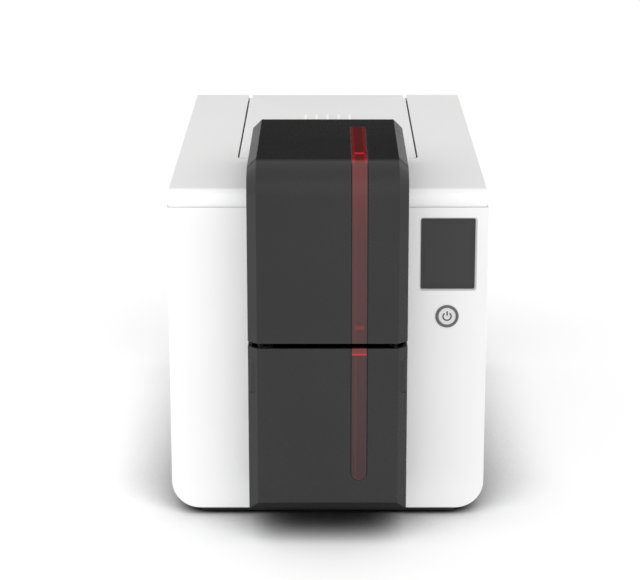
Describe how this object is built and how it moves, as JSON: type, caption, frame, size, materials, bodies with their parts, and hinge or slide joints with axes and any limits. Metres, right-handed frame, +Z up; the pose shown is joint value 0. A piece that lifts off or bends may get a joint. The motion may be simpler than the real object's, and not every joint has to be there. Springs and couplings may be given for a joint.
{
  "type": "id card printer",
  "caption": "Desktop id card printer with lift-up feeder hood, tilting output door, hinged lid, geared card transport, ribbon and print head.",
  "frame": {"origin": "centre of the underside: on the table under the middle of the machine and its tower", "axes": "+X to the right seen from the front, +Y from the front to the back, +Z up"},
  "size_m": [0.205, 0.381, 0.2484],
  "materials": {
    "white_shell": "fine moulded satin",
    "black_shell": "fine moulded satin",
    "red_window": "translucent red",
    "base_black": "black powder coat",
    "rear_grey": "dark grey powder coat",
    "foot_rubber": "matt",
    "frame_steel": "zinc plated",
    "pin_steel": "ground",
    "bush_brass": "sintered",
    "track_black": "moulded",
    "card_white": "smooth",
    "weight_grey": "moulded",
    "head_aluminium": "extruded",
    "display_glass": "glossy",
    "lip_grey": "satin",
    "ring_grey": "satin",
    "button_white": "satin",
    "board_green": "solder mask",
    "drive_rubber": "ground",
    "clean_rubber": "tacky",
    "pinch_rubber": "ground",
    "gear_acetal": "moulded",
    "motor_grey": "satin",
    "spool_white": "moulded",
    "ribbon_dark": "coated film"
  },
  "bodies": {
    "casing": {"base_plate": "base_black", "rubber_feet": "foot_rubber", "left_side_cover": "white_shell", "right_side_cover": "white_shell", "rear_panel": "rear_grey", "top_cover": "white_shell", "left_frame": "frame_steel", "right_frame": "frame_steel", "frame_spacers": "pin_steel", "frame_screws": "pin_steel", "cover_screws": "pin_steel", "shaft_bushes": "bush_brass", "idler_studs": "pin_steel", "card_track": "track_black", "card_magazine": "track_black", "blank_cards": "card_white", "lid_hinge_pins": "pin_steel", "display_window": "display_glass", "display_frame": "lip_grey", "display_module": "board_green", "button_ring": "ring_grey", "button_spring": "pin_steel", "switch_board": "board_green", "transport_motor": "motor_grey", "ribbon_film": "ribbon_dark", "ribbon_motor": "motor_grey", "mainboard": "board_green"},
    "lid": {"top_lid": "white_shell", "lid_grip": "white_shell", "head_bracket": "frame_steel", "print_head": "head_aluminium"},
    "hood": {"feeder_hood": "black_shell", "feeder_window": "red_window", "hood_hinge_pins": "pin_steel"},
    "door": {"output_door": "black_shell", "output_window": "red_window", "output_tray": "track_black", "door_hinge_pins": "pin_steel"},
    "weight": {"card_weight": "weight_grey"},
    "button": {"power_button": "button_white"},
    "pick": {"pick_roller": "drive_rubber", "pick_gear": "gear_acetal"},
    "entry": {"entry_roller": "drive_rubber", "entry_gear": "gear_acetal"},
    "feed": {"feed_roller": "drive_rubber", "feed_gear": "gear_acetal"},
    "platen": {"platen_roller": "drive_rubber", "platen_gear": "gear_acetal"},
    "pick_idler": {"pick_idler_gear": "gear_acetal"},
    "long_idler": {"long_idler_gear": "gear_acetal"},
    "head_idler": {"head_idler_gear": "gear_acetal"},
    "cleaner": {"cleaning_roller": "clean_rubber"},
    "pinch": {"pinch_roller": "pinch_rubber"},
    "motor_shaft": {"motor_pinion": "pin_steel"},
    "supply": {"supply_spool": "spool_white", "supply_ribbon": "ribbon_dark"},
    "take_up": {"take_up_spool": "spool_white", "take_up_ribbon": "ribbon_dark", "take_up_gear": "gear_acetal"},
    "ribbon_shaft": {"ribbon_pinion": "pin_steel"}
  },
  "joints": [
    {"name": "lid_hinge", "type": "hinge", "parent": "casing", "child": "lid", "pos_m": [0, 0.1865, 0.2156], "axis": [-1, 0, 0], "range_deg": [0, 85]},
    {"name": "hood_hinge", "type": "hinge", "parent": "casing", "child": "hood", "pos_m": [0, -0.06, 0.236], "axis": [-1, 0, 0], "range_deg": [0, 70]},
    {"name": "door_hinge", "type": "hinge", "parent": "casing", "child": "door", "pos_m": [0, -0.166, 0.031], "axis": [1, 0, 0], "range_deg": [0, 40]},
    {"name": "button_press", "type": "slide", "parent": "casing", "child": "button", "axis": [0, 1, 0], "range_m": [0, 0.001], "stiffness_N_per_m": 900, "springref_m": -0.001, "deforming": ["button_spring"]},
    {"name": "weight_slide", "type": "slide", "parent": "casing", "child": "weight", "axis": [0, 0, 1], "range_m": [0, 0.04]},
    {"name": "platen_spin", "type": "hinge", "parent": "casing", "child": "platen", "pos_m": [0, 0.037, 0.1297], "axis": [1, 0, 0], "continuous": true},
    {"name": "feed_spin", "type": "hinge", "parent": "casing", "child": "feed", "pos_m": [0, -0.003, 0.1297], "axis": [1, 0, 0], "continuous": true},
    {"name": "entry_spin", "type": "hinge", "parent": "casing", "child": "entry", "pos_m": [0, -0.073, 0.1297], "axis": [1, 0, 0], "continuous": true},
    {"name": "pick_spin", "type": "hinge", "parent": "casing", "child": "pick", "pos_m": [0, -0.119, 0.1297], "axis": [1, 0, 0], "continuous": true},
    {"name": "head_idler_spin", "type": "hinge", "parent": "casing", "child": "head_idler", "pos_m": [0, 0.017, 0.1297], "axis": [1, 0, 0], "continuous": true},
    {"name": "long_idler_spin", "type": "hinge", "parent": "casing", "child": "long_idler", "pos_m": [0, -0.038, 0.1297], "axis": [1, 0, 0], "continuous": true},
    {"name": "pick_idler_spin", "type": "hinge", "parent": "casing", "child": "pick_idler", "pos_m": [0, -0.096, 0.1297], "axis": [1, 0, 0], "continuous": true},
    {"name": "cleaner_spin", "type": "hinge", "parent": "casing", "child": "cleaner", "pos_m": [0, -0.073, 0.14506], "axis": [1, 0, 0], "continuous": true},
    {"name": "pinch_spin", "type": "hinge", "parent": "casing", "child": "pinch", "pos_m": [0, -0.003, 0.14406], "axis": [1, 0, 0], "continuous": true},
    {"name": "motor_spin", "type": "hinge", "parent": "casing", "child": "motor_shaft", "pos_m": [0, -0.038, 0.0997], "axis": [1, 0, 0], "continuous": true},
    {"name": "supply_spin", "type": "hinge", "parent": "casing", "child": "supply", "pos_m": [0, 0.092, 0.175], "axis": [1, 0, 0], "continuous": true},
    {"name": "take_up_spin", "type": "hinge", "parent": "casing", "child": "take_up", "pos_m": [0, -0.022, 0.175], "axis": [1, 0, 0], "continuous": true},
    {"name": "ribbon_motor_spin", "type": "hinge", "parent": "casing", "child": "ribbon_shaft", "pos_m": [0, -0.049, 0.175], "axis": [1, 0, 0], "continuous": true}
  ],
  "couplings": [
    {"joint": "feed_spin", "follows": "platen_spin", "ratio": 1},
    {"joint": "entry_spin", "follows": "platen_spin", "ratio": 1},
    {"joint": "pick_spin", "follows": "platen_spin", "ratio": 1},
    {"joint": "head_idler_spin", "follows": "platen_spin", "ratio": -1.5},
    {"joint": "long_idler_spin", "follows": "platen_spin", "ratio": -0.52174},
    {"joint": "pick_idler_spin", "follows": "platen_spin", "ratio": -1.0909},
    {"joint": "cleaner_spin", "follows": "platen_spin", "ratio": -1.3333},
    {"joint": "pinch_spin", "follows": "platen_spin", "ratio": -1.6},
    {"joint": "motor_spin", "follows": "platen_spin", "ratio": 1.7143},
    {"joint": "take_up_spin", "follows": "supply_spin", "ratio": 1.5},
    {"joint": "ribbon_motor_spin", "follows": "supply_spin", "ratio": -4.2857}
  ]
}
